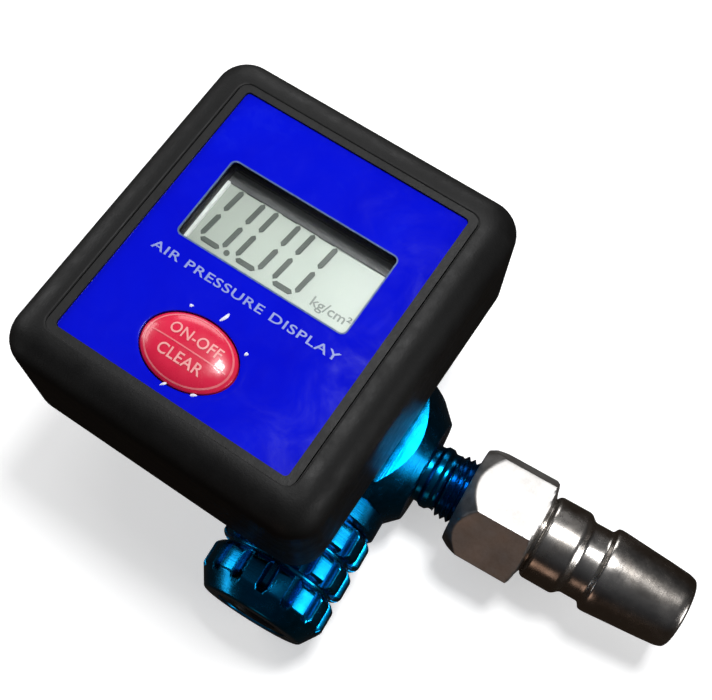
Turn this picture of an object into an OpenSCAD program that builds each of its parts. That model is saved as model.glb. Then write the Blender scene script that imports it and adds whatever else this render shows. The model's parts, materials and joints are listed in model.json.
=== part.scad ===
// In-line air pressure regulator with a digital pressure gauge, an adjusting
// knob, a steel quick plug on the inlet and a swivel nut on the outlet.
// Frame: origin at the centre of the outlet mouth, +X along the air line to
// the inlet plug, +Z out of the gauge face, the knob points along -Y.

/* [Gauge housing] */
// Width of the protective boot
gauge_w = 45; // [42:0.5:48]
// Height of the protective boot
gauge_h = 50.3; // [47:0.1:53]
// Front plane of the boot above the air line
gauge_front = 32; // [31:0.1:33]
// Back plane of the boot above the air line
gauge_back = 12.2; // [12:0.1:12.6]
// Edge and corner radius of the boot
boot_r = 4; // [3:0.1:5]
// Turn of the gauge on its stem in degrees
gauge_turn = -3.5; // [-6:0.5:6]
// Gauge centre above its stem, along its own height
gauge_rise = 3; // [2:0.5:4]

/* [Gauge face] */
// Width of the face plate
label_w = 33.2; // [32:0.1:34]
// Height of the face plate
label_h = 39; // [38:0.1:40]
// Width of the display window
window_w = 24.8; // [23:0.1:26]
// Height of the display window
window_h = 12.3; // [11:0.1:13]
// Window centre above the face centre
window_y = 4.4; // [3:0.1:6]
// Long size of the oval button
button_w = 13.6; // [12:0.1:14]
// Short size of the oval button
button_h = 9.8; // [9:0.1:10.5]
// Button travel
button_travel = 0.6; // [0.4:0.1:0.8]

/* [Regulator body] */
// Distance from outlet mouth to gauge stem
stem_x = 23; // [22:0.5:24]
// Distance from outlet mouth to knob axis
knob_x = 38.8; // [38:0.1:40]
// Side of the square block
block_side = 19; // [18:0.5:19.5]
// Left end of the block
block_x0 = 12; // [11:0.5:13]
// Right end of the block
block_x1 = 49.4; // [48:0.1:50]

/* [Knob] */
// Outer diameter of the knob
knob_d = 18.6; // [17:0.1:18.8]
// Start of the knob below the air line
knob_y0 = 13.1; // [13.1:0.1:14]
// End of the knob below the air line
knob_y1 = 29.5; // [29:0.5:31]
// Number of axial grip grooves
grip_count = 15; // [10:1:20]

/* [Inlet plug] */
// Left face of the plug hexagon
plug_x0 = 55.7; // [55:0.1:57]
// Hexagon size across flats
plug_hex = 14.5; // [13:0.5:15]
// Locking collar diameter
collar_d = 12.4; // [12:0.1:12.6]

/* [Hidden] */
cy = gauge_rise;
label_top = gauge_front - 0.42;
label_bot = label_top - 0.5;
thread_r = 4.86;
port_r = 4.92;
button_x = -1.5;
button_y = cy - 13.5;
win_y = cy + window_y;
post_x = 16.4;
post_y = 18.9;
case_w = 41;
case_h = 46.3;
split_z = 22.6;
case_top = 29;
plunger_z = split_z + 2 + button_travel;
seat_y = -16.2;
piston_y = -8.4;
$fn = 64;

// Gauge parts are drawn about the stem axis and turned together.
module on_gauge() {
  translate([stem_x, 0, 0]) rotate([0, 0, gauge_turn]) children();
}

// Turned parts along +X, from a profile of [radius, distance] points.
module turned_x(points) {
  rotate([0, 90, 0]) rotate_extrude() polygon(points);
}

// Turned parts along -Y about the knob axis, distances counted downwards.
module turned_knob(points) {
  translate([knob_x, 0, 0]) rotate([90, 0, 0]) rotate_extrude() polygon(points);
}

module rod_x(x0, x1, r) {
  translate([x0, 0, 0]) rotate([0, 90, 0]) cylinder(h = x1 - x0, r = r);
}

// Rod along Y on the knob axis between two heights.
module rod_y(y0, y1, r) {
  translate([knob_x, y1, 0]) rotate([90, 0, 0]) cylinder(h = y1 - y0, r = r);
}

module hex_x(x0, x1, flats) {
  translate([x0, 0, 0]) rotate([0, 90, 0])
    cylinder(h = x1 - x0, r = flats / sqrt(3), $fn = 6);
}

module plate(w, h, z0, z1, y = cy, x = 0) {
  translate([x - w / 2, y - h / 2, z0]) cube([w, h, z1 - z0]);
}

// Plate with rounded upright corners.
module round_plate(w, h, z0, z1, r, y = cy, x = 0) {
  union() {
    plate(w - 2 * r, h, z0, z1, y, x);
    plate(w, h - 2 * r, z0, z1, y, x);
    for (i = [-1, 1], j = [-1, 1])
      translate([x + i * (w / 2 - r), y + j * (h / 2 - r), z0])
        cylinder(h = z1 - z0, r = r);
  }
}

module oval(w, h, z0, z1) {
  translate([button_x, button_y, z0])
    linear_extrude(height = z1 - z0) scale([w / 2, h / 2]) circle(r = 1, $fn = 48);
}

// Sharp rings standing for a thread along +X.
module thread_profile(x0, x1, r, pitch) {
  count = floor((x1 - x0) / pitch);
  depth = pitch * 0.55;
  turned_x(concat(
    [[0, x0], [r - depth, x0]],
    [for (i = [0 : count - 1], k = [0, 1])
      [k == 0 ? r : r - depth, x0 + (i + 0.5 + k * 0.5) * pitch]],
    [[r - depth, x1], [0, x1]]
  ));
}

// Round-wire spring along Y: start, end, coil radius, wire radius, turns.
module coil_y(y0, y1, coil_r, wire_r, turns) {
  steps = 20 * turns;
  sides = 8;
  span = y1 - y0 - 2 * wire_r;
  pts = [for (i = [0 : steps], j = [0 : sides - 1])
    let(a = 360 * turns * i / steps, b = 360 * j / sides,
      rr = coil_r + wire_r * cos(b))
    [knob_x + rr * cos(a), y0 + wire_r + span * i / steps + wire_r * sin(b),
      rr * sin(a)]];
  sideways = [for (i = [0 : steps - 1], j = [0 : sides - 1])
    let(k = (j + 1) % sides)
    [i * sides + j, i * sides + k, (i + 1) * sides + k, (i + 1) * sides + j]];
  first = [[for (j = [0 : sides - 1]) sides - 1 - j]];
  last = [[for (j = [0 : sides - 1]) steps * sides + j]];
  polyhedron(points = pts, faces = concat(sideways, first, last));
}

// ---- gauge ----

module boot_solid(w, h, z0, z1, r) {
  hull() for (i = [-1, 1], j = [-1, 1])
    translate([i * (w / 2 - r), cy + j * (h / 2 - r), 0]) {
      translate([0, 0, z0]) cylinder(h = 1, r = r, $fn = 32);
      translate([0, 0, z1 - r]) sphere(r = r, $fn = 32);
    }
}

module protective_boot() {
  color([0.05, 0.05, 0.055]) on_gauge() difference() {
    boot_solid(gauge_w, gauge_h, gauge_back, gauge_front, boot_r);
    plate(case_w + 0.1, case_h + 0.1, gauge_back + 1.2, 28.3);
    plate(35.7, 41.7, 28, 33);
    cylinder(h = 20, r = 8);
  }
}

module gauge_case_front() {
  color([0.07, 0.07, 0.08]) on_gauge() difference() {
    union() {
      plate(case_w, case_h, split_z, 28.2);
      round_plate(35.5, 41.5, 28, 31.9, 1.5);
    }
    difference() {
      plate(case_w - 4, case_h - 4, split_z - 1, case_top - 1.9);
      for (i = [-1, 1], j = [-1, 1])
        translate([i * post_x, cy + j * post_y, 20]) cylinder(h = 12, r = 2.4);
    }
    plate(31.5, 38.7, split_z, case_top);
    round_plate(label_w + 0.1, label_h + 0.1, label_bot, 33, 0.6);
    plate(28.1, 15.6, label_bot - 1, 33, win_y);
    plate(25.8, 13.3, 25, 33, win_y);
    oval(button_w + 0.7, button_h + 0.7, 25, 33);
    for (i = [-1, 1], j = [-1, 1])
      translate([i * post_x, cy + j * post_y, 20]) cylinder(h = 6.5, r = 1);
  }
}

module gauge_case_rear() {
  color([0.08, 0.08, 0.09]) on_gauge() difference() {
    union() {
      difference() {
        plate(case_w, case_h, gauge_back + 1.3, split_z);
        plate(case_w - 4, case_h - 4, gauge_back + 3.1, split_z + 1);
      }
      for (i = [-1, 1], j = [-1, 1])
        translate([i * post_x, cy + j * post_y, gauge_back + 2])
          cylinder(h = split_z - gauge_back - 2, r = 2.4);
    }
    cylinder(h = 20, r = 5.1);
    for (i = [-1, 1], j = [-1, 1])
      translate([i * post_x, cy + j * post_y, 0]) {
        cylinder(h = 40, r = 1.15);
        cylinder(h = gauge_back + 2.8, r = 1.95);
      }
  }
}

module case_screws() {
  color([0.6, 0.6, 0.6]) on_gauge()
    for (i = [-1, 1], j = [-1, 1])
      translate([i * post_x, cy + j * post_y, 0]) difference() {
        union() {
          translate([0, 0, gauge_back + 1.4]) cylinder(h = 1.4, r = 1.8);
          translate([0, 0, gauge_back + 1.4]) cylinder(h = 12, r = 0.95);
        }
        translate([-1.1, -0.2, gauge_back]) cube([2.2, 0.4, 2]);
        translate([-0.2, -1.1, gauge_back]) cube([0.4, 2.2, 2]);
      }
}

module face_label() {
  color([0.02, 0.05, 0.75]) on_gauge() difference() {
    round_plate(label_w, label_h, label_bot, label_top, 0.6);
    round_plate(window_w, window_h, label_bot - 1, label_top + 1, 0.8, win_y);
    oval(button_w + 0.7, button_h + 0.7, label_bot - 1, label_top + 1);
  }
}

module window_lens() {
  color([0.8, 0.85, 0.88, 0.3]) on_gauge()
    plate(28, 15.5, label_bot - 0.95, label_bot, win_y);
}

module display_frame() {
  color([0.04, 0.04, 0.04]) on_gauge() difference() {
    union() {
      plate(30.6, 18.2, 25.2, 28.9, win_y);
      for (i = [-1, 1], j = [-1, 1])
        plate(2, 2, split_z, 25.3, win_y + j * 8, i * 14.2);
    }
    plate(28.4, 15.8, 24, 28.1, win_y);
    plate(window_w, window_h, 24, 30, win_y);
  }
}

module display_panel() {
  color([0.55, 0.6, 0.5]) on_gauge()
    plate(28.2, 15.6, 27, 28.1, win_y);
}

module contact_strip() {
  color([0.8, 0.5, 0.55]) on_gauge()
    plate(24, 1.8, split_z, 27, win_y - 6.6);
}

// One seven-segment numeral drawn as six bars of a zero.
module zero_bars(x, w, h, t) {
  for (j = [-1, 1])
    plate(w - t - 0.3, t, 28.1, 28.2, win_y - 0.6 + j * (h - t) / 2, x);
  for (i = [-1, 1], j = [-1, 1])
    plate(t, h / 2 - t / 2 - 0.25, 28.1, 28.2,
      win_y - 0.6 + j * (h / 4 - 0.1), x + i * (w - t) / 2);
}

module display_digits() {
  color([0.06, 0.07, 0.06]) on_gauge() {
    for (x = [-7.4, -1.6, 3.6]) zero_bars(x, 4.1, 7.6, 0.75);
    plate(0.8, 0.8, 28.1, 28.2, win_y - 4, -4.6);
  }
}

module circuit_board() {
  color([0.05, 0.3, 0.12]) on_gauge() difference() {
    plate(36.6, 41.9, split_z - 1.4, split_z);
    for (i = [-1, 1], j = [-1, 1])
      translate([i * post_x, cy + j * post_y, 20]) cylinder(h = 5, r = 2.7);
    for (i = [-1, 1]) plate(3.2, 3.2, 20, 25, cy + 21, i * 18.6);
    for (i = [-1, 1]) plate(3.2, 3.2, 20, 25, cy - 21, i * 18.6);
  }
}

module board_chip() {
  color([0.03, 0.03, 0.03]) on_gauge() {
    plate(7, 7, split_z, split_z + 1.2, cy - 7.4, 9);
    for (i = [0 : 2]) plate(1.2, 2, split_z, split_z + 0.6, cy - 14, 9 + 2.2 * i);
  }
}

module button_cap() {
  color([0.85, 0.08, 0.18]) on_gauge() union() {
    oval(button_w + 1.6, button_h + 1.2, 27.7, 28.7);
    oval(button_w, button_h, 28.6, label_top + 0.5);
    oval(button_w - 1, button_h - 1, label_top + 0.5, label_top + 1);
    oval(button_w - 2.6, button_h - 2.6, label_top + 1, label_top + 1.3);
    translate([button_x, button_y, plunger_z]) cylinder(h = 28 - plunger_z, r = 1.5);
  }
}

module dome_switch() {
  color([0.75, 0.75, 0.75]) on_gauge() translate([button_x, button_y, split_z]) {
    cylinder(h = 1.2, r = 3.2);
    cylinder(h = 1.6, r = 1.6);
  }
}

module coin_battery() {
  color([0.75, 0.75, 0.77]) on_gauge() translate([0, cy + 12.4, 17]) {
    cylinder(h = 3.2, r = 7.6);
    translate([0, 0, -0.3]) cylinder(h = 1, r = 6.8);
  }
}

module battery_holder() {
  color([0.1, 0.1, 0.1]) on_gauge() translate([0, cy + 12.4, 15.3]) difference() {
    cylinder(h = 4, r = 8.6);
    translate([0, 0, 1.4]) cylinder(h = 5, r = 7.8);
    translate([-2, -10, 2]) cube([4, 20, 5]);
  }
}

module pressure_sensor() {
  color([0.7, 0.7, 0.68]) on_gauge() {
    translate([0, 0, 16]) cylinder(h = 3.6, r = 4.8);
    for (i = [-1, 1], j = [-1, 1])
      translate([i * 2, j * 2, 19.5]) cylinder(h = 1.7, r = 0.3, $fn = 24);
  }
}

module sensor_o_ring() {
  color([0.08, 0.08, 0.08]) on_gauge() translate([0, 0, 15.75])
    rotate_extrude() translate([3, 0]) circle(r = 0.25, $fn = 24);
}

module gauge_stem() {
  color([0.78, 0.62, 0.3]) on_gauge() difference() {
    union() {
      translate([0, 0, 3.2]) cylinder(h = 7, r = thread_r);
      translate([0, 0, 10.2]) cylinder(h = 1.9, r = 7.2, $fn = 6);
      translate([0, 0, 12]) cylinder(h = 3.5, r = 5);
    }
    cylinder(h = 20, r = 1.2);
  }
}

module stem_washer() {
  color([0.7, 0.35, 0.2]) translate([stem_x, 0, block_side / 2]) difference() {
    cylinder(h = 0.7, r = 6.6);
    translate([0, 0, -1]) cylinder(h = 3, r = thread_r + 0.1);
  }
}

// ---- regulator ----

module block_section() {
  s = block_side / 2;
  c = 2.2;
  polygon([[s, s - c], [s - c, s], [c - s, s], [-s, s - c],
    [-s, c - s], [c - s, -s], [s - c, -s], [s, c - s]]);
}

module regulator_body() {
  color([0.1, 0.3, 0.75]) difference() {
    intersection() {
      translate([block_x0, 0, 0]) rotate([0, 90, 0])
        linear_extrude(height = block_x1 - block_x0) block_section();
      turned_x([[0, block_x0], [8.4, block_x0], [14, block_x0 + 4],
        [14, block_x1 - 6.35], [7.65, block_x1], [0, block_x1]]);
    }
    rod_x(block_x0 - 1, 17.7, port_r);
    rod_x(17, 30, 2.4);
    rod_x(43.4, block_x1 + 1, port_r);
    translate([0, -2.9, 0]) rod_x(28, knob_x, 1.7);
    translate([0, 2.9, 0]) rod_x(knob_x, 44, 1.7);
    translate([stem_x, 0, 3]) cylinder(h = 9, r = port_r);
    translate([stem_x, 0, 0]) cylinder(h = 9, r = 1.4);
    rod_y(-10, -7.7, 8);
    rod_y(-8, -5.2, 6.5);
    rod_y(-6, 1, 1.9);
    rod_y(0.2, 10, 3.5);
  }
}

module bonnet() {
  color([0.12, 0.35, 0.75]) difference() {
    turned_knob([[0, 8.7], [7.9, 8.7], [7.9, 9.5], [9, 9.5], [9, 12.3], [8.5, 12.8],
      [6.9, 12.8], [6.9, 22.5], [0, 22.5]]);
    rod_y(-9.7, -7, 6.5);
    rod_y(-21.5, -7, 5.8);
    rod_y(-24, -20, 2.6);
  }
}

module bonnet_o_ring() {
  color([0.07, 0.07, 0.07]) translate([knob_x, -8.2, 0]) rotate([90, 0, 0])
    rotate_extrude() translate([7.3, 0]) circle(r = 0.45, $fn = 24);
}

// One raised grip band of the knob with chamfered edges.
module grip_band(y0, y1) {
  r = knob_d / 2;
  difference() {
    turned_knob([[7.9, y0], [r - 0.7, y0], [r, y0 + 0.7], [r, y1 - 0.5],
      [r - 0.5, y1], [7.9, y1]]);
    for (i = [0 : grip_count - 1])
      translate([knob_x, 0, 0]) rotate([0, i * 360 / grip_count - 3, 0])
        translate([8.3, -y1 - 1, -0.45]) cube([2, y1 - y0 + 2, 0.9]);
  }
}

module adjusting_knob() {
  color([0.1, 0.28, 0.7]) difference() {
    union() {
      turned_knob([[0, knob_y0], [8, knob_y0], [8, knob_y1 - 1],
        [7.4, knob_y1], [0, knob_y1]]);
      grip_band(knob_y0, knob_y0 + 4.2);
      grip_band(knob_y0 + 5, knob_y0 + 9);
      turned_knob([[7.9, knob_y0 + 9.8], [knob_d / 2 - 0.7, knob_y0 + 9.8],
        [knob_d / 2, knob_y0 + 10.5], [knob_d / 2, knob_y1 - 2.8], [7.9, knob_y1 - 0.8]]);
    }
    rod_y(-23, -12, 7.2);
    rod_y(-27.6, -22, 2.5);
    rod_y(-31, -28, 5.2);
  }
}

module knob_cap() {
  color([0.05, 0.06, 0.08]) difference() {
    rod_y(-29.2, -28, 5.1);
    rod_y(-30, -28.6, 3.6);
  }
}

module adjusting_screw() {
  color([0.72, 0.6, 0.35]) difference() {
    rod_y(-27.6, -12.6, 2.5);
    rod_y(-13.4, -12, 0.9);
  }
}

module spring_seat() {
  color([0.75, 0.72, 0.6]) difference() {
    union() {
      rod_y(seat_y - 1.6, seat_y, 5.5);
      rod_y(seat_y - 2.8, seat_y - 1, 4);
    }
    rod_y(-22, -12, 2.56);
  }
}

module range_spring() {
  color([0.6, 0.62, 0.65]) coil_y(seat_y, piston_y, 4.5, 0.55, 5);
}

module piston() {
  color([0.75, 0.6, 0.3]) difference() {
    union() {
      rod_y(piston_y, piston_y + 2.3, 6.2);
      rod_y(piston_y + 2.2, 1.75, 0.9);
    }
    translate([knob_x, piston_y + 1.75, 0]) rotate([90, 0, 0]) rotate_extrude()
      translate([5.3, 0]) square([2, 1.2]);
  }
}

module piston_seal() {
  color([0.07, 0.07, 0.07]) translate([knob_x, piston_y + 1.15, 0]) rotate([90, 0, 0])
    rotate_extrude() translate([5.87, 0]) circle(r = 0.56, $fn = 24);
}

module valve_seat() {
  color([0.85, 0.85, 0.8]) difference() {
    rod_y(0.2, 1.2, 3.45);
    rod_y(0, 2, 1.9);
  }
}

module valve_poppet() {
  color([0.78, 0.64, 0.35]) union() {
    rod_y(1.75, 2.75, 2.9);
    rod_y(2.7, 8, 1.3);
  }
}

module poppet_spring() {
  color([0.6, 0.62, 0.65]) coil_y(2.8, 7.1, 2.1, 0.25, 4);
}

module valve_plug() {
  color([0.12, 0.35, 0.75]) difference() {
    union() {
      rod_y(7.2, 10, 3.45);
      translate([knob_x, 11.5, 0]) rotate([90, 30, 0])
        cylinder(h = 2, r = 5.2, $fn = 6);
    }
    rod_y(7, 9.2, 1.4);
  }
}

// ---- inlet side ----

module inlet_nipple() {
  color([0.35, 0.5, 0.65]) difference() {
    union() {
      rod_x(43.6, block_x1, thread_r);
      rod_x(block_x1 - 1, 53, 4.3);
      rod_x(50.7, 51.7, 4.7);
      thread_profile(52.8, 60.5, thread_r, 0.907);
    }
    rod_x(40, 62, 2.5);
  }
}

module plug_seal() {
  color([0.1, 0.1, 0.1]) difference() {
    rod_x(60.6, 61.6, thread_r);
    rod_x(60, 62, 2.6);
  }
}

module quick_plug() {
  color([0.7, 0.7, 0.68]) difference() {
    union() {
      intersection() {
        rotate([24, 0, 0]) hex_x(plug_x0, plug_x0 + 11, plug_hex);
        turned_x([[0, plug_x0], [6.9, plug_x0], [8.3, plug_x0 + 2.2],
          [8.3, plug_x0 + 9.6], [6.9, plug_x0 + 11], [0, plug_x0 + 11]]);
      }
      turned_x([[0, 66], [5.6, 66], [5.6, 67.2], [5.8, 67.2], [collar_d / 2, 67.6],
        [collar_d / 2, 72.2], [5.35, 73], [5.35, 75.9], [6.15, 76.3], [6.15, 77.2],
        [5.6, 84.5], [5.35, 87.2], [4.8, 88.4], [0, 88.4]]);
    }
    rod_x(plug_x0 - 1, 61.7, port_r);
    rod_x(60, 90, 2.6);
  }
}

// ---- outlet side ----

module outlet_nipple() {
  color([0.35, 0.5, 0.65]) difference() {
    union() {
      rod_x(5, 6, 5.6);
      rod_x(5.9, 11, 5);
      rod_x(11, block_x0, 7.2);
      rod_x(block_x0, 17.5, thread_r);
    }
    rod_x(3, 20, 2.6);
    turned_x([[4.8, 9.9], [7, 9.9], [7, 10.5], [4.8, 10.5]]);
  }
}

module nut_ring() {
  color([0.55, 0.55, 0.57]) difference() {
    rod_x(9.95, 10.45, 5.9);
    rod_x(9, 12, 4.82);
    translate([9, 0, -0.6]) cube([3, 8, 1.2]);
  }
}

module outlet_washer() {
  color([0.08, 0.08, 0.08]) difference() {
    rod_x(4.4, 5, 5.3);
    rod_x(4, 6, 2.8);
  }
}

module swivel_nut() {
  color([0.72, 0.72, 0.7]) difference() {
    intersection() {
      hex_x(0, 9.5, 14.4);
      turned_x([[0, 0], [7.4, 0], [8.4, 0.8], [8.4, 8.7], [7.4, 9.5], [0, 9.5]]);
    }
    rod_x(-1, 4.3, 5.9);
    rod_x(4.2, 6.3, 6.2);
    rod_x(6, 10, 5.06);
  }
}

protective_boot();
gauge_case_front();
gauge_case_rear();
case_screws();
face_label();
window_lens();
display_frame();
display_panel();
contact_strip();
display_digits();
circuit_board();
board_chip();
button_cap();
dome_switch();
coin_battery();
battery_holder();
pressure_sensor();
sensor_o_ring();
gauge_stem();
stem_washer();
regulator_body();
bonnet();
bonnet_o_ring();
adjusting_knob();
knob_cap();
adjusting_screw();
spring_seat();
range_spring();
piston();
piston_seal();
valve_seat();
valve_poppet();
poppet_spring();
valve_plug();
inlet_nipple();
plug_seal();
quick_plug();
outlet_nipple();
nut_ring();
outlet_washer();
swivel_nut();
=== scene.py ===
import json
import math

import bpy
from mathutils import Matrix, Vector


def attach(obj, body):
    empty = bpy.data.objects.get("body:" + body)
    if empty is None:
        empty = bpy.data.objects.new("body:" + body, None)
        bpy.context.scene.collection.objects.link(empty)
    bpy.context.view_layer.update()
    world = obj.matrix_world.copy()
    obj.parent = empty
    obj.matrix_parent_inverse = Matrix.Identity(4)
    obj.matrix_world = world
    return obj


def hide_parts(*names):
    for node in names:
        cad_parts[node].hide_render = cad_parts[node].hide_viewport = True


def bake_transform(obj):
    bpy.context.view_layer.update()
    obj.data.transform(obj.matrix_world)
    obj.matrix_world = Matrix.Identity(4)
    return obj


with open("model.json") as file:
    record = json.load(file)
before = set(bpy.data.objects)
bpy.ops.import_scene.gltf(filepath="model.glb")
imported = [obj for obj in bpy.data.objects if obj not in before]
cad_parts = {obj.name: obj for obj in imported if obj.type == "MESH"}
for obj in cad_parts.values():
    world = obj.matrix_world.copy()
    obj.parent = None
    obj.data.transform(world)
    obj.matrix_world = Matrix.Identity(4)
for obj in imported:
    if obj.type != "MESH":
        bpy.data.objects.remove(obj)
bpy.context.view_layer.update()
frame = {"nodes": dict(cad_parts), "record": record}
nodes = frame["nodes"]
MM = 0.001

# Sizes of the object in millimetres, the same as the CAD model's.
STEM_X = 23.0
TURN = math.radians(-3.5)
RISE = 3.0
FRONT = 32.0
BACK = 12.2
LABEL_TOP = FRONT - 0.42
KNOB_X = 38.8
BUTTON = (-1.5, RISE - 13.5)
THREAD_PITCH = 0.907
FLOOR_Z = -0.00955


def on_gauge(x, y, z):
    """Gauge frame in millimetres to the part's frame in metres."""
    return (
        (STEM_X + x * math.cos(TURN) - y * math.sin(TURN)) * MM,
        (x * math.sin(TURN) + y * math.cos(TURN)) * MM,
        z * MM,
    )


# ---------------------------------------------------------------- camera
cam_data = bpy.data.cameras.new("camera")
cam_data.lens = 57.301
cam_data.sensor_width = 36.0
cam_data.shift_x = 0.02672
cam_data.shift_y = 0.00656
cam_data.clip_start = 0.01
cam_data.clip_end = 20.0
camera = bpy.data.objects.new("camera", cam_data)
bpy.context.scene.collection.objects.link(camera)
camera.matrix_world = Matrix((
    (0.861503, -0.472889, 0.184901, 0.060334),
    (0.50775, 0.801263, -0.316493, -0.043693),
    (0.001511, 0.366543, 0.9304, 0.154525),
    (0.0, 0.0, 0.0, 1.0),
))
bpy.context.scene.camera = camera


# ---------------------------------------------------------------- materials
class Shader:
    """A small helper that builds a Principled material node by node."""

    def __init__(self, name, **sockets):
        self.mat = bpy.data.materials.new(name)
        self.mat.use_nodes = True
        self.tree = self.mat.node_tree
        self.nodes = self.tree.nodes
        self.bsdf = self.nodes["Principled BSDF"]
        self.coord = self.nodes.new("ShaderNodeTexCoord").outputs["Object"]
        for key, value in sockets.items():
            self.bsdf.inputs[key.replace("_", " ")].default_value = value

    def link(self, a, b):
        self.tree.links.new(a, b)
        return b

    def scaled(self, scale):
        node = self.nodes.new("ShaderNodeMapping")
        node.inputs["Scale"].default_value = scale
        self.link(self.coord, node.inputs["Vector"])
        return node.outputs["Vector"]

    def noise(self, scale, detail=4.0, rough=0.55, vector=None, distort=0.0):
        node = self.nodes.new("ShaderNodeTexNoise")
        node.inputs["Scale"].default_value = scale
        node.inputs["Detail"].default_value = detail
        node.inputs["Roughness"].default_value = rough
        node.inputs["Distortion"].default_value = distort
        self.link(vector or self.coord, node.inputs["Vector"])
        return node.outputs["Fac"]

    def voronoi(self, scale):
        node = self.nodes.new("ShaderNodeTexVoronoi")
        node.inputs["Scale"].default_value = scale
        self.link(self.coord, node.inputs["Vector"])
        return node.outputs["Distance"]

    def ramp(self, value, stops):
        node = self.nodes.new("ShaderNodeValToRGB")
        ramp = node.color_ramp
        while len(ramp.elements) < len(stops):
            ramp.elements.new(0.5)
        for element, (place, colour) in zip(ramp.elements, stops):
            element.position = place
            if isinstance(colour, (int, float)):
                colour = (colour, colour, colour)
            element.color = (*colour, 1.0)
        self.link(value, node.inputs["Fac"])
        return node.outputs["Color"]

    def remap(self, value, low, high, a=0.3, b=0.7):
        node = self.nodes.new("ShaderNodeMapRange")
        for key, number in zip(("From Min", "From Max", "To Min", "To Max"), (a, b, low, high)):
            node.inputs[key].default_value = number
        self.link(value, node.inputs["Value"])
        return node.outputs["Result"]

    def math(self, op, a, b):
        node = self.nodes.new("ShaderNodeMath")
        node.operation = op
        for i, v in enumerate((a, b)):
            if isinstance(v, (int, float)):
                node.inputs[i].default_value = v
            else:
                self.link(v, node.inputs[i])
        return node.outputs["Value"]

    def mix(self, fac, a, b):
        node = self.nodes.new("ShaderNodeMix")
        node.data_type = "RGBA"
        if isinstance(fac, (int, float)):
            node.inputs[0].default_value = fac
        else:
            self.link(fac, node.inputs[0])
        for i, v in ((6, a), (7, b)):
            if isinstance(v, tuple):
                node.inputs[i].default_value = (*v, 1.0)
            else:
                self.link(v, node.inputs[i])
        return node.outputs[2]

    def axis(self, which):
        node = self.nodes.new("ShaderNodeSeparateXYZ")
        self.link(self.coord, node.inputs["Vector"])
        return node.outputs[which]

    def colour(self, socket):
        self.link(socket, self.bsdf.inputs["Base Color"])

    def rough(self, socket):
        self.link(socket, self.bsdf.inputs["Roughness"])

    def bump(self, height, strength, distance, normal=None):
        node = self.nodes.new("ShaderNodeBump")
        node.inputs["Strength"].default_value = strength
        node.inputs["Distance"].default_value = distance
        self.link(height, node.inputs["Height"])
        if normal is not None:
            self.link(normal, node.inputs["Normal"])
        self.link(node.outputs["Normal"], self.bsdf.inputs["Normal"])
        return node.outputs["Normal"]


def make_rubber(name, tone, rough, grain=5200.0, strength=0.35):
    s = Shader(name, Specular_IOR_Level=0.24)
    wide = s.noise(90.0, 5.0, 0.6)
    fine = s.noise(grain, 3.0, 0.6)
    low, high = tone
    s.colour(s.ramp(wide, [(0.3, low), (0.75, high)]))
    s.rough(s.remap(s.noise(420.0, 5.0, 0.65), rough - 0.08, rough + 0.1))
    pits = s.voronoi(grain * 0.45)
    first = s.bump(fine, strength, 0.00006)
    s.bump(pits, strength * 0.6, 0.00004, first)
    return s.mat


def make_metal(name, stops, rough, lathe=None, scratch=0.2):
    s = Shader(name, Metallic=1.0)
    tint = s.noise(70.0, 6.0, 0.62, distort=0.6)
    s.colour(s.ramp(tint, stops))
    fine = s.noise(2600.0, 4.0, 0.7)
    s.rough(s.remap(s.noise(260.0, 6.0, 0.7), rough - 0.07, rough + 0.1))
    normal = s.bump(fine, scratch, 0.00002)
    if lathe:
        lines = s.noise(1.0, 2.0, 0.5, vector=s.scaled(lathe))
        s.bump(lines, 0.35, 0.000015, normal)
    return s.mat


def make_plug_metal(name):
    s = Shader(name, Metallic=1.0)
    hexed = s.remap(s.axis("X"), 1.0, 0.0, 0.0664, 0.0668)
    tint = s.noise(75.0, 6.0, 0.62, distort=0.6)
    turned = s.ramp(tint, [(0.25, (0.38, 0.34, 0.30)), (0.5, (0.56, 0.53, 0.50)), (0.8, (0.68, 0.66, 0.63))])
    milled = s.ramp(s.noise(520.0, 6.0, 0.75),
                    [(0.3, (0.30, 0.29, 0.28)), (0.5, (0.42, 0.41, 0.40)), (0.75, (0.56, 0.55, 0.54))])
    s.colour(s.mix(hexed, turned, milled))
    base = s.remap(s.noise(260.0, 6.0, 0.7), 0.17, 0.33)
    s.rough(s.math("ADD", base, s.math("MULTIPLY", hexed, 0.2)))
    normal = s.bump(s.noise(2600.0, 4.0, 0.7), 0.3, 0.00002)
    lines = s.noise(1.0, 2.0, 0.5, vector=s.scaled((3600.0, 120.0, 120.0)))
    s.bump(lines, 0.35, 0.000015, normal)
    return s.mat


def make_blue_metal(name, lathe):
    s = Shader(name, Metallic=1.0)
    wide = s.noise(120.0, 4.0, 0.55)
    s.colour(s.ramp(wide, [(0.25, (0.0, 0.13, 0.34)), (0.55, (0.002, 0.20, 0.44)), (0.8, (0.004, 0.27, 0.50))]))
    s.rough(s.remap(s.noise(700.0, 5.0, 0.7), 0.17, 0.3))
    fine = s.noise(3200.0, 3.0, 0.6)
    normal = s.bump(fine, 0.2, 0.000015)
    lines = s.noise(1.0, 2.0, 0.5, vector=s.scaled(lathe))
    s.bump(lines, 0.45, 0.00002, normal)
    return s.mat


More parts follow.
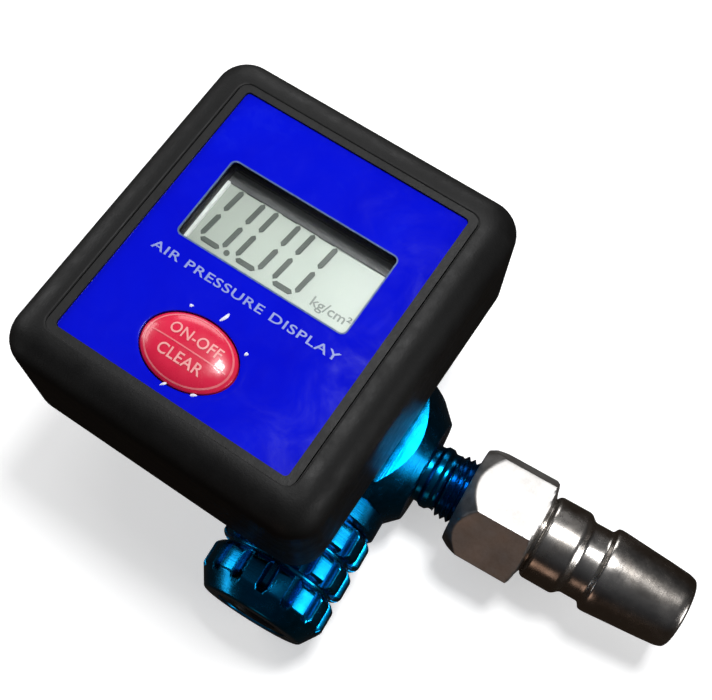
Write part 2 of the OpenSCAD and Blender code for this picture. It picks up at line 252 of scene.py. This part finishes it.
def make_label(name):
    s = Shader(name, Specular_IOR_Level=0.4)
    tone_and_glare_noise = s.noise(55.0, 5.0, 0.6, distort=0.8)
    patch = s.noise(310.0, 6.0, 0.75, distort=1.5)
    print_tone = s.ramp(tone_and_glare_noise, [(0.3, (0.0, 0.002, 0.60)), (0.7, (0.0, 0.005, 0.70))])
    # this mask lightens the blue in patches: partly smudges on the film, partly a painted reflection haze
    smudge_and_glare = s.ramp(s.math("MULTIPLY", patch, tone_and_glare_noise), [(0.30, 0.0), (0.46, 1.0)])
    s.colour(s.mix(s.math("MULTIPLY", smudge_and_glare, 0.07), print_tone, (0.05, 0.09, 0.8)))
    s.rough(s.remap(s.noise(140.0, 6.0, 0.7, distort=1.0), 0.06, 0.2))
    wrinkle = s.noise(240.0, 5.0, 0.7, distort=0.7)
    first = s.bump(wrinkle, 0.3, 0.00006)
    s.bump(s.noise(60.0, 2.0, 0.4), 0.35, 0.0003, first)
    return s.mat


def make_lcd(name):
    s = Shader(name, Roughness=0.3, Specular_IOR_Level=0.4)
    # painted light: the display's colour grows lighter towards its right end, a gradient of light painted into it
    painted_light_across = s.remap(s.axis("X"), 0.0, 1.0, 0.010, 0.036)
    grain = s.noise(900.0, 4.0, 0.7)
    tone = s.ramp(painted_light_across, [(0.0, (0.24, 0.265, 0.235)), (0.6, (0.32, 0.355, 0.32)), (1.0, (0.40, 0.44, 0.40))])
    s.colour(s.mix(s.remap(grain, 0.0, 0.07), tone, (0.20, 0.24, 0.20)))
    s.bump(grain, 0.08, 0.00002)
    return s.mat


def make_plain(name, a, b, rough, scale=300.0):
    s = Shader(name, Specular_IOR_Level=0.5)
    s.colour(s.ramp(s.noise(scale, 5.0, 0.6), [(0.3, a), (0.75, b)]))
    s.rough(s.remap(s.noise(scale * 2.3, 5.0, 0.65), rough - 0.06, rough + 0.08))
    s.bump(s.noise(scale * 9.0, 3.0, 0.6), 0.15, 0.00003)
    return s.mat


def make_lens(name):
    s = Shader(name, Transmission_Weight=1.0, IOR=1.45, Base_Color=(0.96, 0.98, 0.97, 1.0))
    s.rough(s.remap(s.noise(200.0, 5.0, 0.6), 0.0, 0.03))
    return s.mat


def make_button(name):
    s = Shader(name, Specular_IOR_Level=0.5, Coat_Weight=0.35, Coat_Roughness=0.06)
    s.colour(s.ramp(s.noise(130.0, 4.0, 0.6), [(0.3, (0.66, 0.012, 0.05)), (0.75, (0.80, 0.02, 0.075))]))
    s.rough(s.remap(s.noise(420.0, 5.0, 0.65), 0.2, 0.36))
    first = s.bump(s.noise(330.0, 4.0, 0.6, distort=0.6), 0.16, 0.00006)
    s.bump(s.noise(2400.0, 3.0, 0.6), 0.08, 0.00002, first)
    return s.mat


M = {
    "boot_rubber": make_rubber("boot_rubber_look", (0.0035, 0.0065), 0.52),
    "case_plastic": make_rubber("case_plastic_look", (0.010, 0.018), 0.5, 3400.0, 0.5),
    "seal_rubber": make_rubber("seal_rubber_look", (0.01, 0.02), 0.6, 3000.0, 0.25),
    "label_blue": make_label("label_blue_look"),
    "lcd_glass": make_lcd("lcd_glass_look"),
    "lcd_ink": make_plain("lcd_ink_look", (0.028, 0.037, 0.031), (0.046, 0.056, 0.048), 0.4),
    "clear_lens": make_lens("clear_lens_look"),
    "button_red": make_button("button_red_look"),
    "blue_aluminium": make_blue_metal("blue_aluminium_look", (5200.0, 160.0, 160.0)),
    "blue_knob": make_blue_metal("blue_knob_look", (160.0, 5200.0, 160.0)),
    "steel": make_metal("steel_look",
                        [(0.25, (0.42, 0.37, 0.32)), (0.5, (0.60, 0.565, 0.53)), (0.8, (0.70, 0.68, 0.65))],
                        0.27, (3600.0, 120.0, 120.0), 0.3),
    "steel_plug": make_plug_metal("steel_plug_look"),
    "spring_steel": make_metal("spring_steel_look", [(0.3, (0.40, 0.40, 0.42)), (0.7, (0.62, 0.62, 0.64))], 0.3),
    "brass": make_metal("brass_look", [(0.3, (0.55, 0.36, 0.12)), (0.7, (0.76, 0.56, 0.24))], 0.26,
                        (90.0, 90.0, 4200.0)),
    "board_green": make_plain("board_green_look", (0.01, 0.10, 0.03), (0.02, 0.17, 0.06), 0.35, 500.0),
    "chip_black": make_plain("chip_black_look", (0.008, 0.009, 0.01), (0.02, 0.021, 0.023), 0.45, 700.0),
    "seat_plastic": make_plain("seat_plastic_look", (0.62, 0.60, 0.54), (0.74, 0.72, 0.66), 0.45),
    "print_white": make_plain("print_white_look", (0.22, 0.28, 0.66), (0.32, 0.38, 0.76), 0.4, 900.0),
    "print_pink": make_plain("print_pink_look", (0.86, 0.33, 0.33), (0.93, 0.45, 0.43), 0.35, 900.0),
    "print_ring": make_plain("print_ring_look", (0.78, 0.14, 0.17), (0.88, 0.24, 0.26), 0.3, 900.0),
    "unit_ink": make_plain("unit_ink_look", (0.12, 0.14, 0.125), (0.17, 0.19, 0.175), 0.5, 900.0),
    # painted highlight colour for the strip along the display's left edge
    "painted_edge_glint": make_plain("pale_edge_look", (0.42, 0.45, 0.43), (0.56, 0.58, 0.56), 0.3, 900.0),
    "film_edge": make_plain("film_edge_look", (0.07, 0.12, 0.26), (0.12, 0.18, 0.34), 0.25, 900.0),
    # painted shadow colour: dark grey for the band that stands in for the shadow of the window's top wall on the
    # display
    "shade": make_plain("painted_shadow_look", (0.030, 0.032, 0.034), (0.055, 0.057, 0.058), 0.45, 420.0),
    # painted highlight colour for the small glint spots on the label
    "painted_glint": make_plain("glint_spot_look", (0.74, 0.78, 0.95), (0.90, 0.92, 1.0), 0.3, 900.0),
}

for entry in frame["record"]["subparts"]:
    obj = nodes[entry["node"]]
    look = M[entry["material_slot"]]
    obj.data.materials.clear()
    obj.data.materials.append(look)
nodes["bonnet"].data.materials[0] = M["blue_knob"]
nodes["window_lens"].visible_shadow = False


# ---------------------------------------------------------------- mesh tools
def build(name, verts, faces, look, body, sharp=32.0):
    mesh = bpy.data.meshes.new(name)
    mesh.from_pydata([tuple(v) for v in verts], [], faces)
    mesh.validate()
    mesh.polygons.foreach_set("use_smooth", [True] * len(mesh.polygons))
    mesh.set_sharp_from_angle(angle=math.radians(sharp))
    mesh.materials.append(M[look])
    obj = bpy.data.objects.new(name, mesh)
    bpy.context.scene.collection.objects.link(obj)
    if body:
        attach(obj, body)
    return obj


def loft(loops, closed=True, caps=(True, True)):
    """Joins loops of equal length. closed=True also joins the last loop to the first."""
    n = len(loops[0])
    verts = [v for loop in loops for v in loop]
    faces = []
    count = len(loops)
    for i in range(count if closed else count - 1):
        a, b = i * n, ((i + 1) % count) * n
        for j in range(n):
            k = (j + 1) % n
            faces.append((a + j, a + k, b + k, b + j))
    if not closed:
        if caps[0]:
            faces.append(tuple(reversed(range(n))))
        if caps[1]:
            faces.append(tuple((count - 1) * n + j for j in range(n)))
    return verts, faces


def rounded(points, radius, steps=4):
    """Rounds the corners of an open outline of (along, radius) points."""
    out = [points[0]]
    for a, b, c in zip(points, points[1:], points[2:]):
        u = Vector((a[0] - b[0], a[1] - b[1]))
        v = Vector((c[0] - b[0], c[1] - b[1]))
        r = min(radius, u.length * 0.45, v.length * 0.45)
        p, q = Vector(b) + u.normalized() * r, Vector(b) + v.normalized() * r
        for i in range(steps + 1):
            t = i / steps
            w = p * (1 - t) ** 2 + Vector(b) * 2 * t * (1 - t) + q * t ** 2
            out.append((w.x, w.y))
    out.append(points[-1])
    return out


def dense(points, step):
    """Adds points so that no stretch of an outline is longer than step."""
    out = [points[0]]
    for a, b in zip(points, points[1:]):
        n = max(1, math.ceil(math.dist(a, b) / step))
        out += [(a[0] + (b[0] - a[0]) * i / n, a[1] + (b[1] - a[1]) * i / n) for i in range(1, n + 1)]
    return out


def soft_min(a, b, k):
    h = max(k - abs(a - b), 0.0) / k
    return min(a, b) - h * h * k * 0.25


def along_x(outline, count, shape=None):
    loops = []
    for x, r in outline:
        loop = []
        for j in range(count):
            t = 2 * math.pi * j / count
            rr = shape(x, r, t) if shape else r
            loop.append((x * MM, -rr * math.sin(t) * MM, rr * math.cos(t) * MM))
        loops.append(loop)
    return loops


def along_knob(outline, count, shape=None):
    loops = []
    for d, r in outline:
        loop = []
        for j in range(count):
            t = 2 * math.pi * j / count
            rr = shape(d, r, t) if shape else r
            loop.append(((KNOB_X + rr * math.sin(t)) * MM, -d * MM, rr * math.cos(t) * MM))
        loops.append(loop)
    return loops


def rounded_loop(half_w, half_h, r, z, per=10):
    loop = []
    for quarter, (sx, sy) in enumerate(((1, 1), (-1, 1), (-1, -1), (1, -1))):
        for i in range(per + 1):
            a = math.radians(90 * quarter + 90 * i / per)
            loop.append(on_gauge(sx * (half_w - r) + r * math.cos(a),
                                 RISE + sy * (half_h - r) + r * math.sin(a), z))
    return loop


def strips(half_w, half_h, centre, r, width, z0, z1, per=8):
    """A thin closed frame around a rounded window, given in gauge millimetres."""
    loops = []
    for grow, z in ((0, z0), (0, z1), (-width, z1), (-width, z0)):
        loop = []
        for quarter, (sx, sy) in enumerate(((1, 1), (-1, 1), (-1, -1), (1, -1))):
            for i in range(per + 1):
                a = math.radians(90 * quarter + 90 * i / per)
                rr = max(r + grow, 0.05)
                loop.append(on_gauge(centre[0] + sx * (half_w + grow - rr) + rr * math.cos(a),
                                     centre[1] + sy * (half_h + grow - rr) + rr * math.sin(a), z))
        loops.append(loop)
    return loft(loops, closed=True)


# ---------------------------------------------------------------- boot
def make_boot():
    hw, hh, edge = 22.5, 25.15, 4.3
    outline = [(0.9, BACK), (0.35, BACK + 0.12), (0.08, BACK + 0.45), (0.0, BACK + 1.0)]
    outline += [(0.0, BACK + 1.0 + i * (FRONT - edge - BACK - 1.0) / 8) for i in range(1, 9)]
    for i in range(1, 15):
        a = math.radians(90 * i / 14)
        outline.append((edge * (1 - math.cos(a)), FRONT - edge + edge * math.sin(a)))
    outline += [(4.45, FRONT), (4.6, FRONT - 0.08), (4.68, FRONT - 0.3), (4.68, FRONT - 3.6)]
    outline += [(2.02, FRONT - 3.72), (2.02, BACK + 1.2), (8.0, BACK + 1.2)]
    loops = []
    for inset, z in outline:
        r = max(4.4 - inset * 0.62, 1.4)
        loops.append(rounded_loop(hw - inset, hh - inset, r, z, 10))

    def hole(z, radius):
        loop = []
        for p in loops[-1]:
            x, y = p[0] / MM - STEM_X, p[1] / MM
            a = math.atan2(y, x)
            loop.append(((STEM_X + radius * math.cos(a)) * MM, radius * math.sin(a) * MM, z * MM))
        return loop

    loops.append(hole(BACK + 1.2, 8.0))
    loops.append(hole(BACK, 8.0))
    verts, faces = loft(loops, closed=True)
    boot = build("boot_skin", verts, faces, "boot_rubber", "regulator", 50.0)
    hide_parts("protective_boot")


make_boot()


# ---------------------------------------------------------------- face print
def text_piece(name, words, size, look, x, y, z, body="regulator", spread=1.0, width=None, lift=None):
    """Flat raised lettering centred on (x, y) of the gauge face."""
    curve = bpy.data.curves.new(name, "FONT")
    curve.body = words
    curve.size = size
    curve.space_character = spread
    curve.align_x = "CENTER"
    curve.align_y = "CENTER"
    curve.offset = size * 0.012
    curve.resolution_u = 6
    temp = bpy.data.objects.new(name, curve)
    bpy.context.scene.collection.objects.link(temp)
    bpy.context.view_layer.update()
    mesh = bpy.data.meshes.new_from_object(temp.evaluated_get(bpy.context.evaluated_depsgraph_get()))
    bpy.data.objects.remove(temp)
    xs = [v.co.x for v in mesh.vertices]
    scale = width / (max(xs) - min(xs)) if width else 1.0
    mid = (max(xs) + min(xs)) / 2
    for v in mesh.vertices:
        gx, gy = x + (v.co.x - mid) * scale, y + v.co.y
        gz = z if lift is None else lift(gx, gy) + 0.05
        v.co = on_gauge(gx, gy, gz)
    mesh.materials.clear()
    mesh.materials.append(M[look])
    obj = bpy.data.objects.new(name, mesh)
    bpy.context.scene.collection.objects.link(obj)
    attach(obj, body)
    return obj


text_piece("face_words", "AIR PRESSURE DISPLAY", 1.66, "print_white",
           -0.1, RISE - 4.45, LABEL_TOP + 0.03, spread=1.1, width=27.2)

verts, faces = strips(12.42, 6.17, (0.0, RISE + 4.4), 0.85, 0.2, LABEL_TOP - 0.1, LABEL_TOP + 0.03)
build("window_rim", verts, faces, "film_edge", "regulator")


# ---------------------------------------------------------------- button
BTN_A, BTN_B = 6.35, 4.55
BTN_BASE, BTN_RISE = LABEL_TOP - 0.15, 1.15


def crown(d):
    """Height of the button in millimetres, d from 0 at its centre to 1 at its rim."""
    return BTN_BASE + BTN_RISE * (1 - d ** 3.2) ** 0.8


def dome(x, y):
    return crown(min(1.0, math.hypot((x - BUTTON[0]) / BTN_A, (y - BUTTON[1]) / BTN_B)))


def oval_loop(a, b, z, count=96):
    return [on_gauge(BUTTON[0] + a * math.cos(2 * math.pi * i / count),
                     BUTTON[1] + b * math.sin(2 * math.pi * i / count), z) for i in range(count)]


def make_button_piece():
    below = ((1.5, 1.5, 25.2), (1.5, 1.5, 27.7), (7.55, 5.45, 27.72), (7.6, 5.5, 28.2), (7.55, 5.45, 28.68),
             (BTN_A, BTN_B, 28.7), (BTN_A, BTN_B, BTN_BASE))
    loops = [oval_loop(a, b, z) for a, b, z in below]
    for i in range(1, 26):
        d = 1 - (i / 25) ** 1.25 * 0.985
        loops.append(oval_loop(BTN_A * d, BTN_B * d, crown(d)))
    verts, faces = loft(loops, closed=False)
    cap = build("button_dome", verts, faces, "button_red", "button", 45.0)
    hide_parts("button_cap")


make_button_piece()
surround = ((6.5, 4.7, -0.25), (6.54, 4.74, -0.02), (6.8, 4.98, 0.03), (7.42, 5.5, 0.005), (7.14, 5.24, -0.25))
verts, faces = loft([oval_loop(a, b, LABEL_TOP + dz) for a, b, dz in surround])
build("button_surround", verts, faces, "label_blue", "regulator")


def button_ring(name, d0, d1, look):
    loops = []
    for d in (d0, (d0 + d1) / 2, d1):
        loops.append(oval_loop(BTN_A * d, BTN_B * d, crown(d) + 0.03))
    verts, faces = loft(loops, closed=False, caps=(False, False))
    build(name, verts, faces, look, "button")


button_ring("button_outline", 0.885, 0.925, "print_ring")
verts, faces = [], []
for i in range(25):
    x = BUTTON[0] - 5.3 + 10.6 * i / 24
    for off in (-0.09, 0.09):
        y = BUTTON[1] + off
        verts.append(on_gauge(x, y, dome(x, y) + 0.04))
for i in range(24):
    faces.append((2 * i, 2 * i + 2, 2 * i + 3, 2 * i + 1))
build("button_rule", verts, faces, "print_ring", "button")
text_piece("button_words_top", "ON-OFF", 2.0, "print_pink",
           BUTTON[0] + 0.1, BUTTON[1] + 1.45, 0, "button", 1.05, 7.2, dome)
text_piece("button_words_low", "CLEAR", 2.0, "print_pink",
           BUTTON[0] - 0.1, BUTTON[1] - 1.5, 0, "button", 1.05, 6.2, dome)


# ---------------------------------------------------------------- display
LCD_TOP = 28.1


def make_digits():
    verts, faces = [], []

    def bar(points):
        n = len(verts)
        for z in (LCD_TOP + 0.01, LCD_TOP + 0.1):
            for x, y in points:
                verts.append(on_gauge(x, RISE + y, z))
        k = len(points)
        faces.append(tuple(n + k + i for i in range(k)))
        faces.append(tuple(n + i for i in reversed(range(k))))
        for i in range(k):
            j = (i + 1) % k
            faces.append((n + i, n + j, n + k + j, n + k + i))

    slant, t = 0.115, 0.36
    for left in (-10.85, -5.45, 0.12):
        right, low, high = left + 3.35, 0.5, 9.05
        mid = (low + high) / 2

        def put(points):
            bar([(x + (y - low) * slant, y) for x, y in points])

        for x, side in ((left, 1), (right, -1)):
            for y0, y1 in ((low + 0.35, mid - 0.3), (mid + 0.3, high - 0.35)):
                put([(x - side * 0.02, y0), (x + t, y0 + t), (x + t, y1 - t), (x, y1),
                     (x - t, y1 - t), (x - t, y0 + t)])
        for y in (low, high):
            x0, x1 = left + 0.22, right - 0.22
            put([(x0, y), (x0 + t, y - t), (x1 - t, y - t), (x1, y), (x1 - t, y + t), (x0 + t, y + t)])
    bar([(-6.6 + 0.4 * math.cos(math.pi * i / 8), 0.5 + 0.4 * math.sin(math.pi * i / 8)) for i in range(16)])
    digits = build("display_segments", verts, faces, "lcd_ink", "regulator")
    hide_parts("display_digits")


make_digits()
text_piece("display_unit", "kg/cm²", 1.9, "unit_ink", 8.6, RISE + 1.1, LCD_TOP + 0.06, width=5.6)


def box_piece(name, x0, x1, y0, y1, z0, z1, look):
    ring = [(x0, y0), (x1, y0), (x1, y1), (x0, y1)]
    bevel = 0.05
    loops = []
    for grow, z in ((-bevel, z0), (0, z0 + bevel), (0, z1 - bevel), (-bevel, z1)):
        cx, cy = (x0 + x1) / 2, (y0 + y1) / 2
        loops.append([on_gauge(x + math.copysign(grow, x - cx), RISE + y + math.copysign(grow, y - cy), z)
                      for x, y in ring])
    verts, faces = loft(loops, closed=False)
    build(name, verts, faces, look, "regulator")


# painted shadow: a thin dark band over the top of the display, under the window's top wall, stands in for that wall's
# shadow and covers the digits' top bars
box_piece("display_painted_shadow", -12.7, 12.7, 8.8, 10.9, LCD_TOP + 0.11, LCD_TOP + 0.19, "shade")
# painted highlight: a pale strip at the foot of the display's left wall stands in for a glint along that edge
box_piece("display_edge_glint", -12.32, -11.95, -1.6, 8.75, LCD_TOP + 0.02, LCD_TOP + 0.42, "painted_edge_glint")


# ---------------------------------------------------------------- knob
GRIPS = 15


def make_knob():
    y0, y1, big = 13.1, 29.5, 9.3
    outline = [(y0, 7.2), (y0, 8.0), (y0 + 0.05, big - 0.7), (y0 + 0.75, big), (y0 + 3.7, big), (y0 + 4.2, big - 0.5),
               (y0 + 4.25, 8.0), (y0 + 4.95, 8.0), (y0 + 5.0, big - 0.7), (y0 + 5.7, big), (y0 + 8.5, big),
               (y0 + 9.0, big - 0.5), (y0 + 9.05, 8.0), (y0 + 9.75, 8.0), (y0 + 9.8, big - 0.7), (y0 + 10.5, big),
               (y1 - 2.8, big), (y1 - 0.15, 7.55), (y1, 7.2), (y1, 5.25)]
    outline = dense(rounded(outline, 0.25, 4), 0.4)
    outline += [(y1 - 0.15, 5.2), (28.0, 5.2), (28.0, 2.6), (27.6, 2.52), (23.0, 2.52), (23.0, 7.2)]
    pitch = 2 * math.pi / GRIPS

    def shape(d, r, t):
        if r <= 7.95:
            return r
        u = abs(((t - math.radians(-3.0) + math.pi / 2 + pitch / 2) % pitch) - pitch / 2) * 8.6
        depth = 1.15 * max(0.0, min(1.0, (y1 - 1.7 - d) / 1.6))
        wall = min(1.0, max(0.0, (u - 0.42) / 0.36))
        cut = big - depth * (1 - wall ** 0.8) if wall < 1 else 20.0
        return min(r, max(cut, 8.0))

    loops = along_knob(outline, 600, shape)
    verts, faces = loft(loops, closed=True)
    knob = build("knob_grip", verts, [tuple(reversed(f)) for f in faces], "blue_knob", "knob", 38.0)
    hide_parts("adjusting_knob")


make_knob()
lip = along_knob([(28.6, 5.12), (29.25, 5.12), (29.3, 5.0), (29.3, 3.8), (29.2, 3.65), (28.6, 3.65)], 96)
verts, faces = loft(lip, closed=True)
build("cap_lip", verts, [tuple(reversed(f)) for f in faces], "chip_black", "knob")


# ---------------------------------------------------------------- springs
def make_spring(name, node, y0, y1, coil_r, wire_r, turns):
    """A coil from the moving part at y0 to the body at y1."""
    loops = []
    for i in range(24 * turns + 1):
        t = i / (24 * turns)
        a = 2 * math.pi * turns * t
        y = y0 + wire_r + (y1 - y0 - 2 * wire_r) * t
        loop = []
        for j in range(12):
            b = 2 * math.pi * j / 12
            r = coil_r + wire_r * math.cos(b)
            loop.append(((KNOB_X + r * math.cos(a)) * MM, (y + wire_r * math.sin(b)) * MM, r * math.sin(a) * MM))
        loops.append(loop)
    verts, faces = loft(loops, closed=False)
    spring = build(name, verts, faces, "spring_steel", None)
    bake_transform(spring)
    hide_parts(node)


make_spring("range_coil", "range_spring", -16.18, -8.95, 4.5, 0.55, 5)
make_spring("poppet_coil", "poppet_spring", 2.82, 7.08, 2.1, 0.25, 4)


# ---------------------------------------------------------------- inlet nipple
def make_nipple():
    x0, x1, crest = 52.8, 60.5, 4.86
    outline = [(43.6, 2.5), (43.6, 4.7), (43.8, crest), (49.35, crest), (49.4, 4.4), (49.6, 4.3), (50.3, 4.3),
               (50.8, 4.68), (51.6, 4.68), (52.1, 4.3), (52.5, 4.3), (52.75, 4.4)]
    outline = dense(rounded(outline, 0.08, 3), 0.5)
    outline += [(x0 + (x1 - x0) * i / 84, crest) for i in range(85)]
    outline += [(x1, 4.0), (x1, 2.5)]

    def shape(x, r, t):
        if r < 4.8 or x < x0:
            return r
        phase = ((x / THREAD_PITCH) - t / (2 * math.pi)) % 1.0
        tooth = abs(phase - 0.5) * 2
        start = min(1.0, max(0.0, (x - x0) / 0.6))
        return crest - 0.5 * (1 - start) - 0.52 * min(1.0, max(0.0, tooth * 1.15 - 0.08))

    loops = along_x(outline, 144, shape)
    verts, faces = loft(loops, closed=True)
    piece = build("nipple_thread", verts, faces, "blue_aluminium", "regulator", 50.0)
    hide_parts("inlet_nipple")


make_nipple()


# ---------------------------------------------------------------- quick plug
def make_plug():
    x0 = 55.7
    outline = [(x0, 4.92), (x0, 6.5), (x0 + 0.06, 6.9)]
    outline += [(x0 + 0.06 + 10.88 * i / 60, 20.0) for i in range(1, 60)]
    outline += [(x0 + 10.94, 6.9), (x0 + 11.0, 6.5)]
    nose = [(x0 + 11.0, 5.65), (67.15, 5.6), (67.25, 5.9), (67.7, 6.2), (71.9, 6.2), (72.3, 6.05), (73.1, 5.35),
            (75.8, 5.35), (76.25, 6.1), (76.6, 6.18), (77.3, 6.17), (80.0, 5.95), (84.6, 5.6), (87.2, 5.35),
            (88.1, 5.05), (88.4, 4.5), (88.4, 3.0), (88.1, 2.6)]
    outline += dense(rounded(nose, 0.3, 4), 0.6)[1:]
    outline += [(61.7, 2.6), (61.7, 4.92)]
    flat = 7.45

    def shape(x, r, t):
        if r < 15:
            return r
        a = ((t - math.radians(24.0)) % (math.pi / 3)) - math.pi / 6
        hexed = flat / math.cos(a)
        cone = 6.9 + min((x - x0) * 0.62, (x0 + 11.0 - x) * 3.0)
        return soft_min(soft_min(hexed, 8.6, 0.06), cone, 0.08)

    loops = along_x(outline, 360, shape)
    verts, faces = loft(loops, closed=True)
    plug = build("plug_shell", verts, faces, "steel_plug", "regulator", 28.0)
    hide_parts("quick_plug")


make_plug()


# ---------------------------------------------------------------- outlet thread
def make_nut_thread():
    loops = []
    count, turns, bore = 60, 4, 5.88
    steps = count * turns
    for i in range(steps + 1):
        t = 2 * math.pi * i / count
        x = 0.35 + THREAD_PITCH * i / count
        fade = min(1.0, i / 10, (steps - i) / 10)
        loop = []
        for dx, r in ((-0.3, bore), (0.0, bore - 0.42 * fade), (0.3, bore), (0.0, 5.895)):
            loop.append(((x + dx * fade) * MM, -r * math.sin(t) * MM, r * math.cos(t) * MM))
        loops.append(loop)
    verts, faces = loft(loops, closed=False)
    build("nut_thread", verts, faces, "steel", "nut")


make_nut_thread()


# ---------------------------------------------------------------- painted glints on the film
# painted highlights: small raised white spots on the label stand in for glints on wrinkles of the film
def painted_glint(name, x, y, a, b, turn):
    loops = []
    count = 20
    for s, z in ((1.0, 0.0), (0.8, 0.06), (0.45, 0.1), (0.05, 0.115)):
        loop = []
        for i in range(count):
            t = 2 * math.pi * i / count
            wob = 1 + 0.12 * math.sin(3 * t + x)
            px, py = a * s * wob * math.cos(t), b * s * wob * math.sin(t)
            loop.append(on_gauge(x + px * math.cos(turn) - py * math.sin(turn),
                                 RISE + y + px * math.sin(turn) + py * math.cos(turn), LABEL_TOP + z))
        loops.append(loop)
    verts, faces = loft(loops, closed=False)
    build(name, verts, faces, "painted_glint", "regulator")


GLINT_SPOTS = ((-4.82, -8.55, 0.24, 0.2, 0.4), (4.2, -9.95, 0.26, 0.22, 1.0), (2.1, -17.5, 0.4, 0.2, 0.6),
          (-1.6, -18.3, 0.42, 0.17, 0.9), (-0.6, -7.6, 0.75, 0.22, 1.25))
for i, (x, y, a, b, turn) in enumerate(GLINT_SPOTS):
    painted_glint(f"film_glint_{i}", x, y, a, b, turn)


# ---------------------------------------------------------------- stage
def stage_material(name, a, b):
    s = Shader(name, Specular_IOR_Level=0.2)
    s.colour(s.ramp(s.noise(6.0, 3.0, 0.5), [(0.3, a), (0.7, b)]))
    s.bsdf.inputs["Roughness"].default_value = 0.8
    s.bsdf.inputs["Emission Color"].default_value = (0.9, 0.9, 0.9, 1.0)
    s.bsdf.inputs["Emission Strength"].default_value = 0.52
    return s.mat


floor_mesh = bpy.data.meshes.new("floor")
floor_mesh.from_pydata([(x, y, FLOOR_Z) for x, y in ((-3, -3), (3, -3), (3, 3), (-3, 3))], [], [(0, 1, 2, 3)])
floor_mesh.materials.append(stage_material("floor_look", (0.84, 0.84, 0.84), (0.87, 0.87, 0.87)))
floor = bpy.data.objects.new("floor", floor_mesh)
bpy.context.scene.collection.objects.link(floor)
floor.visible_glossy = False
floor.visible_diffuse = False


def area(name, place, aim, size, power, colour=(1.0, 1.0, 1.0)):
    light = bpy.data.lights.new(name, "AREA")
    light.shape = "RECTANGLE"
    light.size, light.size_y = size
    light.energy = power
    light.color = colour
    obj = bpy.data.objects.new(name, light)
    bpy.context.scene.collection.objects.link(obj)
    obj.location = place
    obj.rotation_mode = "QUATERNION"
    obj.rotation_quaternion = (Vector(aim) - Vector(place)).to_track_quat("-Z", "Y")
    return obj


area("key", (0.075, 0.10, 0.38), (0.05, 0.0, 0.01), (0.09, 0.09), 1.05)
area("left", (-0.32, 0.05, 0.16), (0.03, -0.01, 0.0), (0.20, 0.16), 0.5)
area("right", (0.36, -0.02, 0.10), (0.05, -0.01, 0.0), (0.14, 0.14), 0.36)
area("low_left", (-0.20, -0.23, 0.03), (0.035, -0.025, 0.0), (0.10, 0.05), 0.05)
area("warm_card", (0.06, -0.25, 0.0), (0.062, 0.0, 0.0), (0.07, 0.07), 0.013, (1.0, 0.66, 0.50))
area("rear", (-0.10, 0.34, 0.15), (0.03, 0.0, 0.0), (0.25, 0.15), 0.45)

world = bpy.data.worlds.new("world")
bpy.context.scene.world = world
world.use_nodes = True
wt = world.node_tree
coord = wt.nodes.new("ShaderNodeTexCoord")
split = wt.nodes.new("ShaderNodeSeparateXYZ")
ramp = wt.nodes.new("ShaderNodeValToRGB")
wt.links.new(coord.outputs["Generated"], split.inputs["Vector"])
wt.links.new(split.outputs["Z"], ramp.inputs["Fac"])
for place, colour in ((0.35, (0.05, 0.05, 0.055)), (0.6, (0.09, 0.095, 0.105))):
    ramp.color_ramp.elements.new(place).color = (*colour, 1.0)
ramp.color_ramp.elements[0].position = 0.0
ramp.color_ramp.elements[0].color = (0.05, 0.035, 0.025, 1.0)
ramp.color_ramp.elements[3].position = 0.95
ramp.color_ramp.elements[3].color = (0.24, 0.25, 0.27, 1.0)
wt.links.new(ramp.outputs["Color"], wt.nodes["Background"].inputs["Color"])
wt.nodes["Background"].inputs["Strength"].default_value = 0.4
bpy.context.scene.view_settings.view_transform = "Standard"
